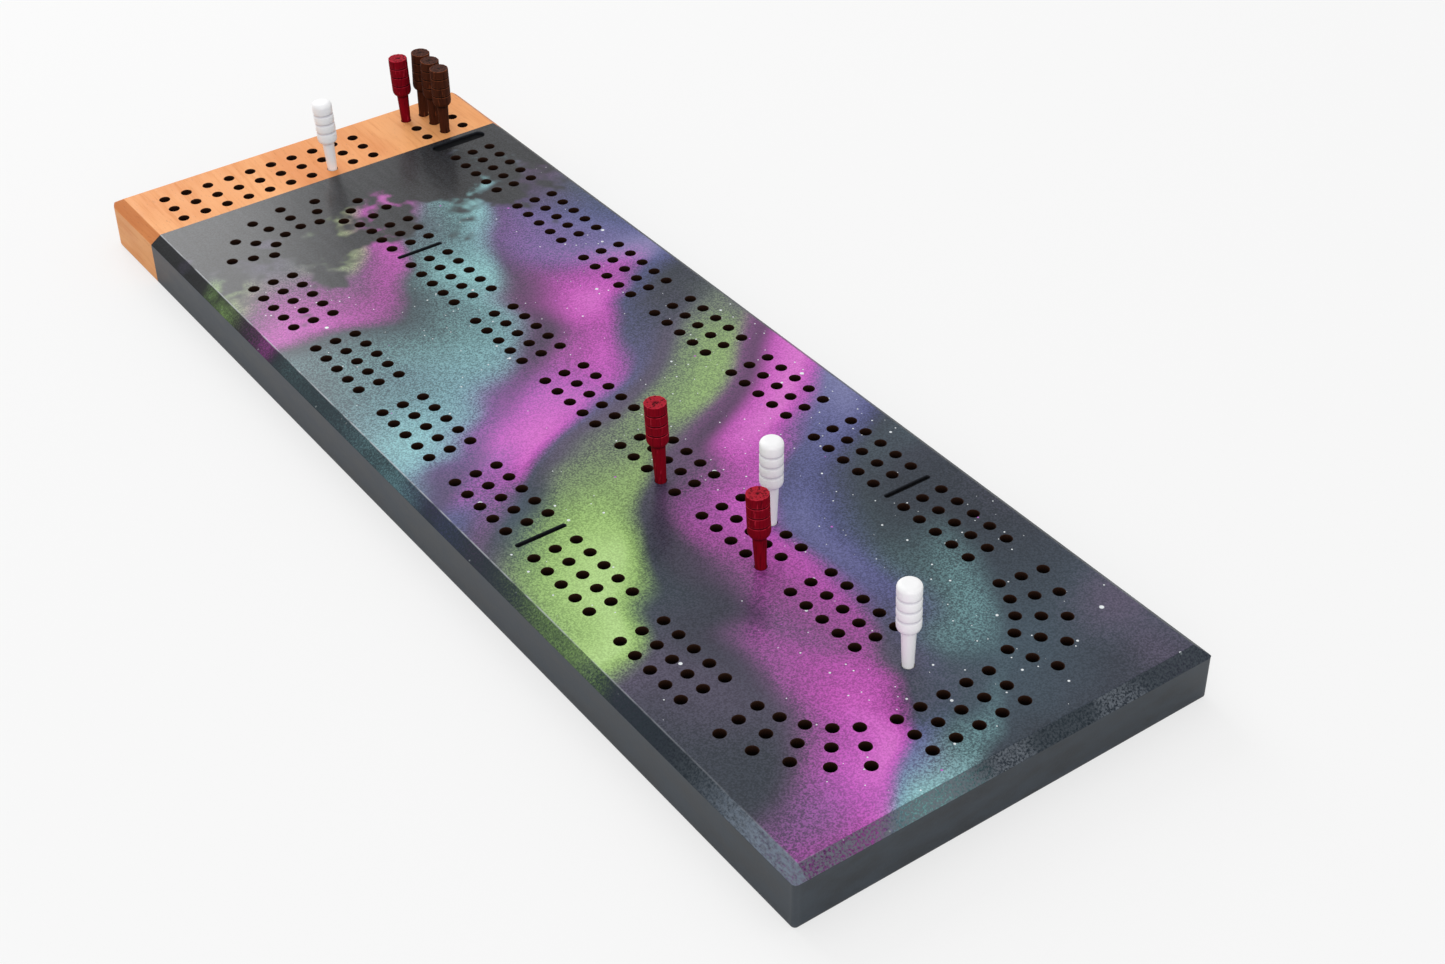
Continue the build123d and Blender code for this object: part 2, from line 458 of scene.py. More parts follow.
# %% A plain peg: flat top of open end grain with a crisp rim
plain_cap = [
    (plain_length - 0.14 * MM, plain_radius, -0.4),
    (plain_length, plain_radius - 0.14 * MM, -1.0),
    (plain_length, plain_radius - 0.34 * MM, 0.0),
    (plain_length, plain_radius * 0.68, 0.0),
    (plain_length, plain_radius * 0.46, 0.0),
    (plain_length, plain_radius * 0.24, 0.2),
    (plain_length, plain_radius * 0.09, 0.9),
]
plain_peg = turn_peg("plain_peg", plain_rings, plain_cap)
print("plain peg:", len(plain_peg.data.polygons), "faces")

# %% A white peg: thick paint, soft grooves and a rounded rim
dome = 1.35 * MM
white_rings = shaft_rings(1.18 * MM) + shoulder_rings(1.9 * MM, white_radius, 0.5)
white_rings += head_rings(white_radius, soft_groove)
white_cap = [
    (white_length - dome + dome * sin(a), white_radius - dome + dome * cos(a), 0.0)
    for a in (radians(d) for d in (0, 15, 30, 45, 60, 75, 88))
]
white_cap += [(white_length, white_radius * share, 0.0) for share in (0.4, 0.2)]
white_peg = turn_peg("white_peg", white_rings, white_cap)
print("white peg:", len(white_peg.data.polygons), "faces")

# %% [markdown]
# Hand-turned pegs are never quite alike. Each copy is turned about its own axis, and its shaft is
# fitted to its hole and keeps the faint flats of the knife. The rims of the stained pegs are a little
# ragged. Most pegs wedge a degree or two off upright, as tapered pegs do, but stay clear of the wall.

# %% Give each copy its own small faults
flat_depth, flats_run_in = 0.045 * MM, 8 * MM
wear_depth, wear_wave = 0.035 * MM, 2.3 * MM
rim_band, rim_inside, pit_wave = 0.2 * MM, 2 * MM, 0.4 * MM
lean_side = Vector((-0.81, 0.586, 0.0))
leans = {  # degrees off upright, towards lean_side
    "peg_red_1": 2.0, "peg_red_2": 2.2, "peg_red_3": 1.9, "peg_white_1": 0.0, "peg_white_2": 1.5,
    "peg_white_3": 2.2, "peg_brown_1": 0.6, "peg_brown_2": -0.8, "peg_brown_3": -2.1,
}


def whittle(peg, fit, length, ragged, seed):
    """Fits the shaft to its hole, cuts faint flats along it, and wears the head inwards.

    The numbers before turn say how often each fault comes back on one round of the peg.
    """
    for v in peg.data.vertices:
        r, turn = hypot(v.co.x, v.co.y), atan2(v.co.y, v.co.x)
        if r < CLOSE:
            v.co.z -= ragged * 1.6
            continue
        if v.co.z < shaft + CLOSE:
            flats = abs(sin(5.5 * turn + seed)) * min(1.0, v.co.z / flats_run_in)
            grow = fit - flat_depth * flats
        else:
            wear = 0.5 + 0.5 * sin(3 * turn + seed) * cos(v.co.z / wear_wave + seed)
            grow = -wear_depth * wear
        if v.co.z > length - rim_band:
            chip = sin(9 * turn + 2 * seed) * sin(5 * turn + seed) + sin(13 * turn)
            grow -= ragged * max(0.0, chip) * (r > rim_inside)
            pitting = 0.5 + 0.5 * sin(7 * turn + r / pit_wave + seed)
            v.co.z -= ragged * pitting * (r < plain_radius * 0.93)
        v.co.x, v.co.y = v.co.x * (r + grow) / r, v.co.y * (r + grow) / r


# %% Copy the pegs to their holes
play = 0.06 * MM


def place_peg(master, node, turn, ragged, finish):
    """A copy of master in the place of the solid peg node."""
    x, y, tip, top, _ = peg_sizes(node)
    peg = master.copy()
    peg.data = master.data.copy()
    peg.name = peg.data.name = node + "_turned"
    bpy.context.scene.collection.objects.link(peg)
    master_tip = max(hypot(v.co.x, v.co.y) for v in peg.data.vertices if v.co.z < 0.4 * MM)
    fit = hole_radius - play - taper * (thickness - tip) - master_tip
    whittle(peg, fit, top - tip, ragged, radians(turn))
    peg.data.transform(Matrix.Rotation(radians(turn), 4, "Z"))
    peg.data.transform(Matrix.Translation((x, y, tip)))
    mouth = Matrix.Translation((x, y, thickness))
    sideways = Vector((0, 0, 1)).cross(lean_side)
    peg.data.transform(mouth @ Matrix.Rotation(radians(leans[node]), 4, sideways) @ mouth.inverted())
    peg.data.materials.append(finish)
    only(peg)
    bpy.ops.object.shade_smooth_by_angle(angle=radians(38))
    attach(peg, node)
    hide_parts(node)
    return peg


finishes = {kind: bpy.data.materials.new(kind + "_peg_finish") for kind in ("red", "white", "brown")}
peg_turns = {"red": (10, 95, 200), "white": (40, 150, 260), "brown": (0, 130, 245)}
rim_wear = 0.1 * MM
pegs = []
for kind, turns in peg_turns.items():
    master, ragged = (white_peg, 0.0) if kind == "white" else (plain_peg, rim_wear)
    for number, turn in enumerate(turns, 1):
        pegs.append(place_peg(master, f"peg_{kind}_{number}", turn, ragged, finishes[kind]))
for master in (plain_peg, white_peg):
    bpy.data.objects.remove(master)
print("pegs:", [peg.name for peg in pegs])

# %% [markdown]
# ## Node helpers
# Each finish is a node tree. These helpers add a node, join two sockets, and keep the trees short.

# %% Add and join nodes
def srgb(r, g, b):
    """A colour as painters' values from 0 to 255, turned into linear light."""
    linear = [c / 255 / 12.92 if c <= 10 else ((c / 255 + 0.055) / 1.055) ** 2.4 for c in (r, g, b)]
    return (*linear, 1)


def fill(tree, socket, value):
    """Joins a socket to another node's output, or writes a plain value into it."""
    if isinstance(value, bpy.types.NodeSocket):
        tree.links.new(value, socket)
    else:
        socket.default_value = value


def node(tree, kind, inputs=None, **settings):
    """Adds a node, sets it up, and fills its inputs."""
    made = tree.nodes.new("ShaderNode" + kind)
    for name, value in settings.items():
        setattr(made, name, value)
    for name, value in (inputs or {}).items():
        fill(tree, made.inputs[name], value)
    return made


def math(tree, operation, a, b=0.0, c=0.0):
    return node(tree, "Math", {0: a, 1: b, 2: c}, operation=operation).outputs[0]


def times(tree, a, b):
    return math(tree, "MULTIPLY", a, b)


def split(tree, place):
    """The three coordinates of a place, named X, Y and Z."""
    return node(tree, "SeparateXYZ", {0: place}).outputs


def blend(tree, factor, a, b, mode="MIX"):
    """Mixes colour a into colour b by factor."""
    made = node(tree, "Mix", data_type="RGBA", blend_type=mode)
    for name, value in (("Factor_Float", factor), ("A_Color", a), ("B_Color", b)):
        fill(tree, next(s for s in made.inputs if s.identifier == name), value)
    return next(s for s in made.outputs if s.identifier == "Result_Color")


def wash(tree, colour, tint):
    """Darkens a colour by another one, as a thin wash over it does."""
    return blend(tree, 1.0, colour, tint, "MULTIPLY")


def ramp(tree, factor, low, high, out_low=0.0, out_high=1.0):
    """A smooth step of factor from low to high."""
    limits = {0: factor, 1: low, 2: high, 3: out_low, 4: out_high}
    return node(tree, "MapRange", limits, interpolation_type="SMOOTHSTEP").outputs[0]


def noise(tree, place, scale, detail=2.0, roughness=0.5):
    cloud = {"Vector": place, "Scale": scale, "Detail": detail, "Roughness": roughness}
    return node(tree, "TexNoise", cloud).outputs["Fac"]


def stretch(tree, place, x, y, z):
    """Squeezes or stretches a pattern along the three directions."""
    return node(tree, "Mapping", {"Vector": place, "Scale": (x, y, z)}).outputs[0]


def open_finish(material):
    """Returns a material's node tree, its main shader and the object's own coordinates."""
    material.use_nodes = True
    tree = material.node_tree
    shader = tree.nodes["Principled BSDF"]
    place = node(tree, "TexCoord").outputs["Object"]
    return tree, shader, place


def set_plain(shader, values):
    """Sets numbers that are the same all over a finish, on the shader's own sockets."""
    for socket, value in values.items():
        shader.inputs[socket].default_value = value


def emboss(tree, shader, height, strength, depth):
    """Lets a height pattern tilt the light, as a fine relief does."""
    bump = node(tree, "Bump", {"Height": height, "Strength": strength, "Distance": depth})
    tree.links.new(bump.outputs[0], shader.inputs["Normal"])


def group(name, inputs, outputs):
    """Starts a node group, and returns it with what it is given and what it has to fill."""
    tree = bpy.data.node_groups.new(name, "ShaderNodeTree")
    for sockets, way in ((inputs, "INPUT"), (outputs, "OUTPUT")):
        for label, kind in sockets:
            tree.interface.new_socket(label, in_out=way, socket_type="NodeSocket" + kind)
    return tree, tree.nodes.new("NodeGroupInput").outputs, tree.nodes.new("NodeGroupOutput").inputs


def use(tree, grouped, inputs):
    """Puts a group into a tree and fills its inputs."""
    made = tree.nodes.new("ShaderNodeGroup")
    made.node_tree = grouped
    for name, value in inputs.items():
        fill(tree, made.inputs[name], value)
    return made.outputs


# %% [markdown]
# ## Airbrushed colour
# An airbrush lays down a cloud of tiny droplets: dense in the middle, and breaking into separate dots
# at its edge. A ribbon of it is a band round a wandering line. Sprayed over a loose mask, it is fairly
# crisp on the near side and fades out slowly on the far side. The droplets are a fine noise with its
# contrast raised: added to the band's density, it stipples both fades.

# %% One airbrushed ribbon
ribbon_inputs = ("Along", "Across", "Droplets", "Cloud", "Middle", "Lean", "Near side", "Far side")
ribbon, given, made = group(
    "airbrushed_ribbon", [(label, "Float") for label in ribbon_inputs], [("Mask", "Float"), ("Core", "Float")]
)
line = math(ribbon, "MULTIPLY_ADD", given["Lean"], given["Along"], given["Middle"])
away = math(ribbon, "SUBTRACT", given["Across"], line)
near_fade = math(ribbon, "DIVIDE", times(ribbon, away, -1.0), given["Near side"])
far_fade = math(ribbon, "DIVIDE", away, given["Far side"])
spread = math(ribbon, "MAXIMUM", near_fade, far_fade)
density = times(ribbon, ramp(ribbon, spread, 1.0, 0.0), ramp(ribbon, given["Cloud"], 0.32, 0.66))
unsure = times(ribbon, ramp(ribbon, density, 0.0, 0.25), ramp(ribbon, density, 1.0, 0.6))
stipple_and_rim_reflection = math(ribbon, "MULTIPLY_ADD", times(ribbon, given["Droplets"], 0.14), unsure, density)
ribbon.links.new(times(ribbon, stipple_and_rim_reflection, 0.92), made["Mask"])
ribbon.links.new(times(ribbon, math(ribbon, "POWER", density, 4.0), 0.3), made["Core"])
print("one ribbon takes", len(ribbon.nodes), "nodes")

# %% Flicked dots of paint, all of one rough size
spatter, given, made = group(
    "flicked_dots",
    [("Place", "Vector"), ("Cells", "Float"), ("Size", "Float"), ("Chance", "Float")],
    [("Mask", "Float")],
)
in_cells = {"Vector": given["Place"], "Scale": given["Cells"]}
cells = node(spatter, "TexVoronoi", in_cells, voronoi_dimensions="2D").outputs
luck = node(spatter, "SeparateColor", {0: cells["Color"]}).outputs
radius = times(spatter, given["Size"], math(spatter, "ADD", luck["Green"], 0.35))
share = math(spatter, "DIVIDE", cells["Distance"], radius)
chosen = math(spatter, "LESS_THAN", luck["Red"], given["Chance"])
spatter.links.new(times(spatter, ramp(spatter, share, 1.0, 0.75), chosen), made["Mask"])
print("one size of dots takes", len(spatter.nodes), "nodes")

# %% Drifting coordinates
def drift(tree, place, scale, reach):
    """Moves each point sideways by slow noise, so that straight bands wander."""
    colours = node(tree, "TexNoise", {"Vector": place, "Scale": scale, "Detail": 1.0}).outputs["Color"]
    centred = node(tree, "VectorMath", {0: colours, 1: (0.5, 0.5, 0.5)}, operation="SUBTRACT").outputs[0]
    bent = node(tree, "VectorMath", {0: centred, "Scale": reach}, operation="SCALE").outputs[0]
    return node(tree, "VectorMath", {0: place, 1: bent}, operation="ADD").outputs[0]


def shifted(tree, place, step):
    """The same place seen from elsewhere, so that two patterns don't match."""
    return node(tree, "Mapping", {"Vector": place, "Location": (0.37 * step, 0.21 * step, 0.0)}).outputs[0]


# %% The colours of the ribbons
night, slate, dusk, haze = srgb(17, 31, 46), srgb(34, 42, 58), srgb(44, 66, 80), srgb(84, 72, 98)
periwinkle, magenta = srgb(88, 92, 160), srgb(224, 60, 204)
lime, aqua = srgb(174, 220, 108), srgb(158, 226, 226)
ribbons = [
    # paint, middle of the ribbon, lean, near side and far side, in millimetres but for the lean
    (periwinkle, -120, 0.9, 22, 60),
    (periwinkle, 24, 0.8, 24, 60),
    (aqua, -152, 0.7, 13, 34),
    (magenta, -104, 1.0, 15, 52),
    (lime, -44, 0.75, 13, 44),
    (night, -66, 0.8, 14, 14),
    (magenta, 22, 0.95, 13, 48),
    (aqua, 66, 0.9, 15, 44),
    (night, 50, 0.9, 14, 14),
    (magenta, 104, 0.7, 12, 30),
    (lime, 124, 0.6, 10, 24),
]


# %% The airbrushed field
def sprayed_colour(tree, place):
    """The airbrushed field as a colour, with its droplets as numbers from -1 to 1."""
    wandering = drift(tree, drift(tree, place, 8.0, 0.12), 30.0, 0.026)
    where = split(tree, wandering)
    droplets = ramp(tree, noise(tree, place, 2100.0, 1.5, 0.6), 0.28, 0.72, -1.0, 1.0)
    colour = blend(tree, ramp(tree, noise(tree, wandering, 15.0, 1.0), 0.36, 0.64), night, slate)
    dusky = noise(tree, shifted(tree, wandering, 3), 12.0, 1.0)
    colour = blend(tree, ramp(tree, dusky, 0.46, 0.7), colour, dusk)
    hazy = noise(tree, shifted(tree, wandering, 7), 12.0, 1.0)
    hazy = math(tree, "MULTIPLY_ADD", droplets, 0.035, hazy)
    colour = blend(tree, ramp(tree, hazy, 0.4, 0.66), colour, haze)
    for step, (paint, middle, lean, near, far) in enumerate(ribbons, 1):
        band = use(tree, ribbon, {
            "Along": where["X"], "Across": where["Y"], "Droplets": droplets,
            "Cloud": noise(tree, shifted(tree, wandering, step), 13.0, 1.0),
            "Middle": middle * MM, "Lean": lean, "Near side": near * MM, "Far side": far * MM,
        })
        paler = 0.4 if max(paint[:3]) > 0.3 else 0.0  # bright paints look paler where they lie thick
        glow = tuple(c + (1 - c) * paler for c in paint[:3]) + (1,)
        colour = blend(tree, band["Mask"], colour, blend(tree, band["Core"], paint, glow))
    return colour, droplets


print(len(ribbons), "ribbons")

# %% [markdown]
# ## The painted top
# Paint is flicked over the field in dots of several sizes. Before the masking line plain dark grey
# covers it, brushed on lengthways, with an edge that wanders and breaks up. A satin clear coat lies over
# both. The chamfer was painted again by hand: there the field is darker, partly from thinner paint and
# partly as painted shade, and is dabbed with green-black and, towards the near end, with grey. Along
# the left side its upper edge carries a thin pale line, a painted highlight.

# %% Paint on the top, and the flicked dots over it
white_dot, pink_dot = srgb(236, 241, 243), srgb(190, 90, 200)
tree, shader, place = open_finish(bpy.data.materials["painted_top"])
colour, droplets = sprayed_colour(tree, place)
where = split(tree, place)
spots = noise(tree, place, 26.0, 1.0)
dot_sets = (
    # cells in a metre, a dot's share of its cell, its chance, and the spots with no dots and with most
    (40.0, 0.022, 0.3, 0.3, 0.45),
    (110.0, 0.04, 0.28, 0.3, 0.62),
    (330.0, 0.07, 0.2, 0.42, 0.66),
)
dots = 0.0
for count, size, chance, none, most in dot_sets:
    chances = times(tree, ramp(tree, spots, none, most), chance)
    flicked = {"Place": shifted(tree, place, count), "Cells": count, "Size": size, "Chance": chances}
    dots = math(tree, "MAXIMUM", use(tree, spatter, flicked)["Mask"], dots)
colour = blend(tree, dots, colour, white_dot)
few = {"Place": shifted(tree, place, 5), "Cells": 60.0, "Size": 0.02, "Chance": 0.12}
colour = blend(tree, use(tree, spatter, few)["Mask"], colour, pink_dot)
print(len(dot_sets), "sizes of white dots, and a few pink ones")

# %% Plain dark grey near the masking line, and the shimmer of the droplets
grey_starts, grey_full = 96 * MM, 114 * MM
near_black, dark_grey = srgb(9, 10, 12), srgb(30, 31, 34)
dimmed, undimmed, shimmer = srgb(222, 222, 224), srgb(255, 255, 255), srgb(150, 160, 176)
brushed = noise(tree, stretch(tree, place, 1, 0.1, 1), 420.0, 3.0)
far_grey = blend(tree, ramp(tree, brushed, 0.3, 0.7), near_black, dark_grey)
dabs = math(tree, "SUBTRACT", noise(tree, place, 60.0, 3.0, 0.6), 0.5)
fade = math(tree, "MULTIPLY_ADD", dabs, 0.14, where["Y"])
fade = math(tree, "MULTIPLY_ADD", droplets, 0.003, fade)
colour = blend(tree, ramp(tree, fade, grey_starts, grey_full), colour, far_grey)
mottle = ramp(tree, droplets, -1.0, 1.0)
speckled = wash(tree, colour, blend(tree, mottle, dimmed, undimmed))
speckled = blend(tree, times(tree, mottle, 0.05), speckled, shimmer)
print(f"the edge of the grey wanders to both sides of {grey_starts / MM:.0f} to {grey_full / MM:.0f} mm")

# %% Paint on the chamfer
green_black, plain_black, darker = srgb(30, 41, 48), srgb(22, 21, 24), srgb(186, 192, 190)
side_gap = math(tree, "SUBTRACT", width / 2, math(tree, "ABSOLUTE", where["X"]))
end_gap = math(tree, "ADD", length / 2, where["Y"])
edge_gap = math(tree, "MINIMUM", side_gap, end_gap)
on_chamfer = ramp(tree, edge_gap, chamfer + 0.05 * MM, chamfer - 0.1 * MM)
sponge = noise(tree, place, 1700.0, 4.0, 0.65)
patches = noise(tree, shifted(tree, place, 2), 40.0, 2.0)
thick = ramp(tree, patches, 0.36, 0.6, 0.06, 0.44)
sponged = math(tree, "MULTIPLY_ADD", ramp(tree, sponge, 0.34, 0.64), 0.5, thick)
black = blend(tree, ramp(tree, where["Y"], 20 * MM, 100 * MM), green_black, plain_black)
# the field on the chamfer is washed darker: partly thinner paint, partly painted shade
dabbed = blend(tree, sponged, wash(tree, speckled, darker), black)
print(f"the chamfer's paint begins {chamfer / MM:.1f} mm from the edge")

# %% Grey dabs near the near end, and grey strokes at its left corner
dabs_start, dabs_full = -120 * MM, -172 * MM
strokes_start, strokes_full = -136 * MM, -166 * MM
dab_grey, stroke_grey = srgb(104, 110, 118), srgb(106, 117, 131)
faint = times(tree, ramp(tree, sponge, 0.36, 0.62), ramp(tree, patches, 0.62, 0.42, 0.25, 0.8))
faint = times(tree, faint, ramp(tree, where["Y"], dabs_start, dabs_full))
dabbed = blend(tree, faint, dabbed, dab_grey)
left_line = chamfer - width / 2
on_left = ramp(tree, where["X"], left_line + 0.2 * MM, left_line - 0.2 * MM)
at_corner = times(tree, on_left, ramp(tree, where["Y"], strokes_start, strokes_full))
strokes = noise(tree, stretch(tree, place, 1, 0.4, 1), 1700.0, 3.0, 0.6)
strokes = ramp(tree, strokes, 0.34, 0.66, 0.25, 1.0)
dabbed = blend(tree, times(tree, strokes, at_corner), dabbed, stroke_grey)
finished = blend(tree, on_chamfer, speckled, dabbed)
print(f"grey strokes cover the left chamfer from {strokes_full / MM:.0f} mm to the corner")

# %% A painted highlight along the upper edge of the left chamfer
edge_highlight_grey = srgb(168, 172, 178)
off_edge = math(tree, "ABSOLUTE", math(tree, "SUBTRACT", edge_gap, chamfer))
highlight_breaks = ramp(tree, noise(tree, place, 150.0, 4.0), 0.3, 0.55)
edge_highlight = times(tree, ramp(tree, off_edge, 0.26 * MM, 0.08 * MM), highlight_breaks)
highlight_strength = ramp(tree, where["Y"], -150 * MM, -60 * MM, 0.15, 0.6)
highlight_along_left = times(tree, ramp(tree, where["X"], -50 * MM, -56 * MM), highlight_strength)
# a thin pale line painted along the chamfer's upper edge: a painted highlight, stronger towards the far end
finished = blend(tree, times(tree, edge_highlight, highlight_along_left), finished, edge_highlight_grey)
tree.links.new(finished, shader.inputs["Base Color"])
print("painted top:", len(tree.nodes), "nodes")

# %% Clear coat on the top, thin on the chamfer, whose cut wood drank most of it
top_coat, chamfer_coat = 0.58, 0.12
set_plain(shader, {"Roughness": 0.55, "Specular IOR Level": 0.1, "Coat Roughness": 0.2})
coat = math(tree, "MULTIPLY_ADD", on_chamfer, chamfer_coat - top_coat, top_coat)
tree.links.new(coat, shader.inputs["Coat Weight"])
peel = noise(tree, place, 520.0, 2.0)
bristles = noise(tree, stretch(tree, place, 1, 0.06, 1), 1500.0, 3.0)
bristles = times(tree, bristles, ramp(tree, where["Y"], 90 * MM, 115 * MM))
relief = math(tree, "MULTIPLY_ADD", dots, 0.6, math(tree, "MULTIPLY_ADD", droplets, 0.25, peel))
relief = math(tree, "MULTIPLY_ADD", bristles, 2.0, relief)
relief = math(tree, "MULTIPLY_ADD", times(tree, on_chamfer, sponge), 3.0, relief)
emboss(tree, shader, relief, 0.16, 0.12 * MM)
print("coat:", top_coat, "on the top,", chamfer_coat, "on the chamfer")

# %% [markdown]
# ## The painted sides
# The sides are rolled with satin charcoal. The roller leaves faint cloudy patches; the upright corners
# are painted a little paler, a painted highlight, and the lower edge paler, a painted reflection of the
# floor.

# %% Paint on the sides
charcoal, worn_charcoal = srgb(24, 31, 38), srgb(41, 50, 59)
rim_reflection_grey, corner_highlight_grey = srgb(84, 85, 88), srgb(120, 124, 130)
tree, shader, place = open_finish(bpy.data.materials["painted_side"])
where = split(tree, place)
rolled = noise(tree, stretch(tree, place, 1, 1, 2.5), 90.0, 5.0, 0.6)
colour = blend(tree, ramp(tree, rolled, 0.3, 0.7), charcoal, worn_charcoal)
# paler towards the lower edge: a painted reflection of the floor
stipple_and_rim_reflection = times(tree, ramp(tree, where["Z"], 1.6 * MM, 0.2 * MM), times(tree, rolled, 0.5))
colour = blend(tree, stipple_and_rim_reflection, colour, rim_reflection_grey)
outwards = math(tree, "ADD", math(tree, "ABSOLUTE", where["X"]), math(tree, "ABSOLUTE", where["Y"]))
furthest = (width + length) / 2
# the upright corners are painted paler: a painted highlight
corner = ramp(tree, outwards, furthest - 2.2 * MM, furthest - 1.1 * MM)
colour = blend(tree, times(tree, corner, 0.04), colour, corner_highlight_grey)
tree.links.new(colour, shader.inputs["Base Color"])
tree.links.new(ramp(tree, rolled, 0.3, 0.7, 0.36, 0.46), shader.inputs["Roughness"])
fleck = noise(tree, place, 1100.0, 3.0)
emboss(tree, shader, math(tree, "MULTIPLY_ADD", rolled, 1.5, fleck), 0.14, 0.12 * MM)
print("painted sides:", len(tree.nodes), "nodes")

# %% [markdown]
# ## The bare wood
# The bare end is an even, orange-tan hardwood under oil: faint fibres run along the plank, and a soft
# figure drifts across them. The routed chamfer is painted darker and the sides a little cooler, as
# painted shade. The far end shows the ends of the fibres, with its growth rings.

# %% Fibres, pores and figure of the wood
fibres, given, made = group(
    "long_grain", [("Place", "Vector")], [("Fibre", "Float"), ("Pore", "Float"), ("Figure", "Float")]
)
grain_place = drift(fibres, given["Place"], 12.0, 0.012)
fibre = noise(fibres, stretch(fibres, grain_place, 1, 0.05, 1), 800.0, 4.0, 0.65)
pore = noise(fibres, stretch(fibres, grain_place, 1, 0.16, 1), 2300.0, 2.0, 0.6)
figure = noise(fibres, stretch(fibres, grain_place, 1, 0.45, 1), 42.0, 3.0, 0.5)
for name, value in (("Fibre", fibre), ("Pore", pore), ("Figure", figure)):
    fibres.links.new(value, made[name])
print("the long grain takes", len(fibres.nodes), "nodes")


# %% Growth rings and open pores on the sawn end
ring_brown, end_pore_brown = srgb(176, 104, 58), srgb(150, 84, 46)


def end_grain(tree, place, colour):
    """The colour with its rings and pores, and the height of the pores."""
    heart, rings_in_metre = (-0.03, 0, 0.09), 480.0
    flat = stretch(tree, place, 1, 0, 1)
    off = node(tree, "VectorMath", {0: flat, 1: heart}, operation="SUBTRACT").outputs[0]
    reach = node(tree, "VectorMath", {0: drift(tree, off, 60.0, 0.004)}, operation="LENGTH")
    ring = math(tree, "FRACT", times(tree, reach.outputs["Value"], rings_in_metre))
    colour = blend(tree, times(tree, ramp(tree, ring, 0.55, 1.0), 0.4), colour, ring_brown)
    pores = noise(tree, place, 2600.0, 3.0)
    colour = blend(tree, times(tree, ramp(tree, pores, 0.55, 0.7), 0.35), colour, end_pore_brown)
    return colour, pores


# %% Oiled wood, along the grain and across its end
tan, pale_tan = srgb(221, 139, 77), srgb(240, 169, 107)
fibre_brown, pore_brown = srgb(208, 124, 62), srgb(160, 92, 50)
chamfer_shade_tint, side_shade_tint = srgb(213, 189, 157), srgb(241, 249, 255)


def oil_wood(name, end):
    """Oiled wood, with painted shade: darker on the routed chamfer and a little cooler on its sides."""
    tree, shader, place = open_finish(bpy.data.materials[name])
    where = split(tree, place)
    grain = use(tree, fibres, {"Place": place})
    colour = blend(tree, ramp(tree, grain["Figure"], 0.3, 0.7), tan, pale_tan)
    colour = blend(tree, times(tree, ramp(tree, grain["Fibre"], 0.46, 0.72), 0.42), colour, fibre_brown)
    colour = blend(tree, times(tree, ramp(tree, grain["Pore"], 0.62, 0.72), 0.3), colour, pore_brown)
    height = math(tree, "MULTIPLY_ADD", grain["Pore"], -0.6, grain["Fibre"])
    if end:
        colour, height = end_grain(tree, place, colour)
    side_gap = math(tree, "SUBTRACT", width / 2, math(tree, "ABSOLUTE", where["X"]))
    edge_gap = math(tree, "MINIMUM", side_gap, math(tree, "SUBTRACT", length / 2, where["Y"]))
    depth = ramp(tree, where["X"], -width / 2, width / 2, left_depth, right_depth)
    above = math(tree, "ADD", math(tree, "SUBTRACT", where["Z"], thickness), depth)
    # painted shade: the routed chamfer is darkened and the sides made a little cooler
    routed = ramp(tree, edge_gap, chamfer + 0.1 * MM, chamfer - 0.3 * MM)
    routed = times(tree, routed, ramp(tree, above, -0.2 * MM, 0.2 * MM))
    colour = blend(tree, routed, colour, wash(tree, colour, chamfer_shade_tint))
    on_side = ramp(tree, above, 0.2 * MM, -0.2 * MM)
    colour = blend(tree, on_side, colour, wash(tree, colour, side_shade_tint))
    tree.links.new(colour, shader.inputs["Base Color"])
    tree.links.new(ramp(tree, grain["Fibre"], 0.3, 0.7, 0.42, 0.54), shader.inputs["Roughness"])
    set_plain(shader, {"Specular IOR Level": 0.18})
    emboss(tree, shader, height, 0.12, 0.15 * MM)


for name, end in (("bare_wood", False), ("wood_end_grain", True)):
    oil_wood(name, end)
    print(name, "has", len(bpy.data.materials[name].node_tree.nodes), "nodes")

# %% [markdown]
# ## Holes and engraved lines
# The drill scorched the walls: brown near the mouth, black further down, the black partly char and
# partly painted shade. The engraved lines were cut after painting; they are dark, darker towards the
# bottom as painted shade, and slightly furry at the bottom.

# %% Walls of the holes and of the engraved lines
wall_colours = {
    # deep down (partly painted shade), at the mouth, and how many millimetres down the mouth's colour reaches
    "drilled_wood": (srgb(6, 5, 5), srgb(46, 28, 20), 3.5),
    "engraved_line": (srgb(19, 20, 22), srgb(44, 46, 52), 0.6),
}
for name, (deep_shade, mouth, reach) in wall_colours.items():
    tree, shader, place = open_finish(bpy.data.materials[name])
    scorch_and_shade_edge = noise(tree, stretch(tree, place, 1, 1, 2), 900.0, 3.0)
    uneven = math(tree, "MULTIPLY_ADD", scorch_and_shade_edge, 1.0 * MM, split(tree, place)["Z"])
    # the walls are painted darker deep down: partly char, partly painted shade
    up = ramp(tree, uneven, thickness - reach * MM, thickness + 0.6 * MM)
    tree.links.new(blend(tree, up, deep_shade, mouth), shader.inputs["Base Color"])
    set_plain(shader, {"Roughness": 0.7, "Specular IOR Level": 0.05})
    emboss(tree, shader, noise(tree, stretch(tree, place, 1, 1, 3), 1500.0, 2.0), 0.3, 0.1 * MM)
    print(name, "takes its mouth's colour down to", reach, "mm")
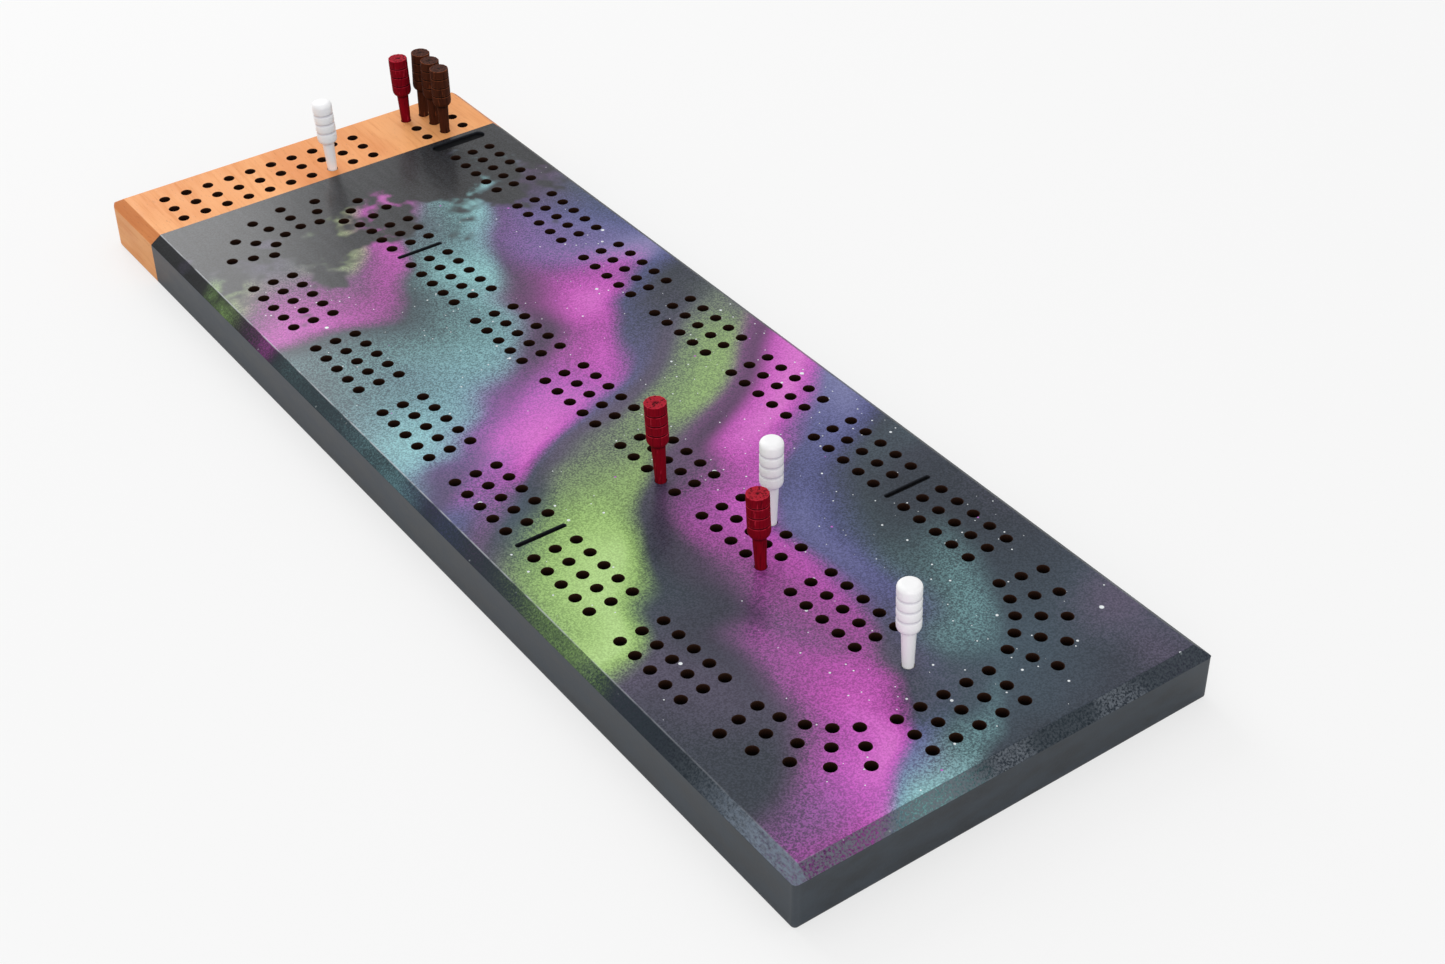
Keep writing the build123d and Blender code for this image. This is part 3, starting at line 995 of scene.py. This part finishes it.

# %% [markdown]
# ## The pegs' finishes
# The red and brown pegs are stained, so their fibres still show: fine lines up the sides and open,
# pitted end grain on top, painted lighter than the sides as painted light. The white ones wear thick
# paint, which hides the fibres; their grooves are painted a faint grey, as painted shade. The stored
# "shade" value paints shade into the grooves and the foot of each head, and a pale line on the lips
# that is partly wear and partly painted highlight.

# %% Stain and paint
peg_paints = {
    # body, dark grain and painted shade, pale wear and painted highlight, end grain painted lighter as top
    # light
    "red": (srgb(120, 2, 21), srgb(44, 0, 6), srgb(196, 44, 64), srgb(164, 30, 46)),
    "white": (srgb(243, 243, 244), srgb(214, 213, 219), srgb(244, 244, 245), srgb(244, 244, 245)),
    "brown": (srgb(68, 31, 16), srgb(16, 6, 4), srgb(132, 70, 40), srgb(74, 40, 30)),
}
peg_gloss = {
    # roughness, specular level, coat, how far the fibres show
    "red": (0.75, 0.06, 0.0, 0.6),
    "white": (0.35, 0.4, 0.15, 0.03),
    "brown": (0.7, 0.08, 0.0, 0.7),
}
for kind, (body, dark_grain_and_shade, wear_and_highlight, end_grain_and_top_light) in peg_paints.items():
    rough, specular, coat, show = peg_gloss[kind]
    tree, shader, place = open_finish(finishes[kind])
    shade = node(tree, "Attribute", attribute_name="shade").outputs["Fac"]
    end = node(tree, "Attribute", attribute_name="end_grain").outputs["Fac"]
    fibre = noise(tree, stretch(tree, place, 1, 1, 0.07), 2100.0, 3.0, 0.7)
    scratch = noise(tree, stretch(tree, place, 1, 1, 0.14), 1300.0, 2.0, 0.5)
    pits = noise(tree, place, 1500.0, 3.0, 0.65)
    colour = blend(tree, times(tree, ramp(tree, fibre, 0.46, 0.72), show), body, dark_grain_and_shade)
    colour = blend(tree, times(tree, ramp(tree, scratch, 0.64, 0.72), show * 0.8), colour, wear_and_highlight)
    pitted = times(tree, ramp(tree, pits, 0.5, 0.62), min(1.0, show * 1.5))
    # the stained tops are painted lighter than the sides: painted light over the real end grain
    colour = blend(tree, end, colour, blend(tree, pitted, end_grain_and_top_light, dark_grain_and_shade))
    # painted shade in the grooves, at the tip and under the head, by the stored shade value
    colour = blend(tree, times(tree, ramp(tree, shade, 0.05, 0.8), 0.92), colour, dark_grain_and_shade)
    # a pale line on the lips: partly wear, partly painted highlight
    lip_wear_and_highlight = times(tree, ramp(tree, shade, -0.3, -0.9), ramp(tree, scratch, 0.32, 0.54))
    colour = blend(tree, times(tree, lip_wear_and_highlight, 0.95), colour, wear_and_highlight)
    tree.links.new(colour, shader.inputs["Base Color"])
    set_plain(shader, {
        "Roughness": rough, "Specular IOR Level": specular, "Coat Weight": coat, "Coat Roughness": 0.18,
    })
    relief = node(tree, "Mix", {0: end, 2: fibre, 3: times(tree, pits, -2.5)}).outputs[0]
    emboss(tree, shader, relief, 0.1 + 0.35 * show, 0.12 * MM)
print("finishes:", sorted(peg_paints), "and", [m.name for m in plank.data.materials])

# %% [markdown]
# ## Floor, light and camera
# A white studio: a pale floor, and a white room that lights the object evenly from all round, with a
# soft overhead lamp, a fill from the camera's side, and a bright wall behind, which the coat mirrors
# at the board's far end. The camera sees the floor mostly at its own white, so that it stays pale and
# still takes a soft shadow.

# %% Floor
bpy.ops.object.select_all(action="DESELECT")
bpy.ops.mesh.primitive_plane_add(size=6, location=(0, 0, -0.01 * MM))
floor = take_name("floor")
floor_white, seen_white, own_white = srgb(231, 231, 231), srgb(246, 246, 246), 0.7
floor_finish = bpy.data.materials.new("floor_white")
floor.data.materials.append(floor_finish)
tree, shader, _ = open_finish(floor_finish)
by_camera = node(tree, "LightPath").outputs["Is Camera Ray"]
tree.links.new(blend(tree, by_camera, floor_white, seen_white), shader.inputs["Base Color"])
set_plain(shader, {"Roughness": 0.9, "Specular IOR Level": 0.1})
plain = node(tree, "Emission", {"Color": seen_white, "Strength": 1.0})
seen = times(tree, by_camera, own_white)
mixed = node(tree, "MixShader", {0: seen, 1: shader.outputs[0], 2: plain.outputs[0]})
tree.links.new(mixed.outputs[0], tree.nodes["Material Output"].inputs["Surface"])
print("floor:", [round(side, 2) for side in floor.dimensions], "metres")

# %% World and lamps
room_light, extra_seen = 0.72, 0.2
world = bpy.data.worlds.new("white_room")
bpy.context.scene.world = world
world.use_nodes = True
room = world.node_tree
by_camera = node(room, "LightPath").outputs["Is Camera Ray"]
glow = room.nodes["Background"].inputs
glow["Color"].default_value = (1, 1, 1, 1)
room.links.new(math(room, "MULTIPLY_ADD", by_camera, extra_seen, room_light), glow["Strength"])


def softbox(name, place, target, size, power):
    """A square lamp at a place, turned towards a target."""
    lamp = bpy.data.lights.new(name, "AREA")
    lamp.shape, lamp.size, lamp.energy = "SQUARE", size, power
    obj = bpy.data.objects.new(name, lamp)
    obj.location = place
    obj.rotation_euler = (Vector(target) - Vector(place)).to_track_quat("-Z", "Y").to_euler()
    bpy.context.scene.collection.objects.link(obj)


softbox("overhead_softbox", (0.25, 0.5, 1.6), (0, 0, 0), 1.4, 3.2)
softbox("bright_wall", (0.05, 1.55, 0.8), (-0.05, 0.12, 0), 1.0, 12)
softbox("camera_side_fill", (-0.8, -1.3, 0.55), (0, 0, 0), 1.4, 9)
print("lamps:", sorted(lamp.name for lamp in bpy.data.lights))

# %% Camera
camera_data = bpy.data.cameras.new("camera")
camera_data.sensor_width, camera_data.lens = 36, 56.236
camera_data.clip_start, camera_data.clip_end = 0.01, 20
camera = bpy.data.objects.new("camera", camera_data)
bpy.context.scene.collection.objects.link(camera)
bpy.context.scene.camera = camera
camera_place = Vector((-0.26651, -0.43791, 0.37589))
forward = Vector((0.46117, 0.64580, -0.60849)).normalized()
right = Vector((0.81048, -0.58572, -0.00738))
right = (right - forward * right.dot(forward)).normalized()
up = right.cross(forward)
turned = Matrix((right, up, -forward)).transposed().to_4x4()
camera.matrix_world = Matrix.Translation(camera_place) @ turned
bpy.context.scene.view_settings.view_transform = "Standard"
print("camera looks along", tuple(round(c, 3) for c in forward))
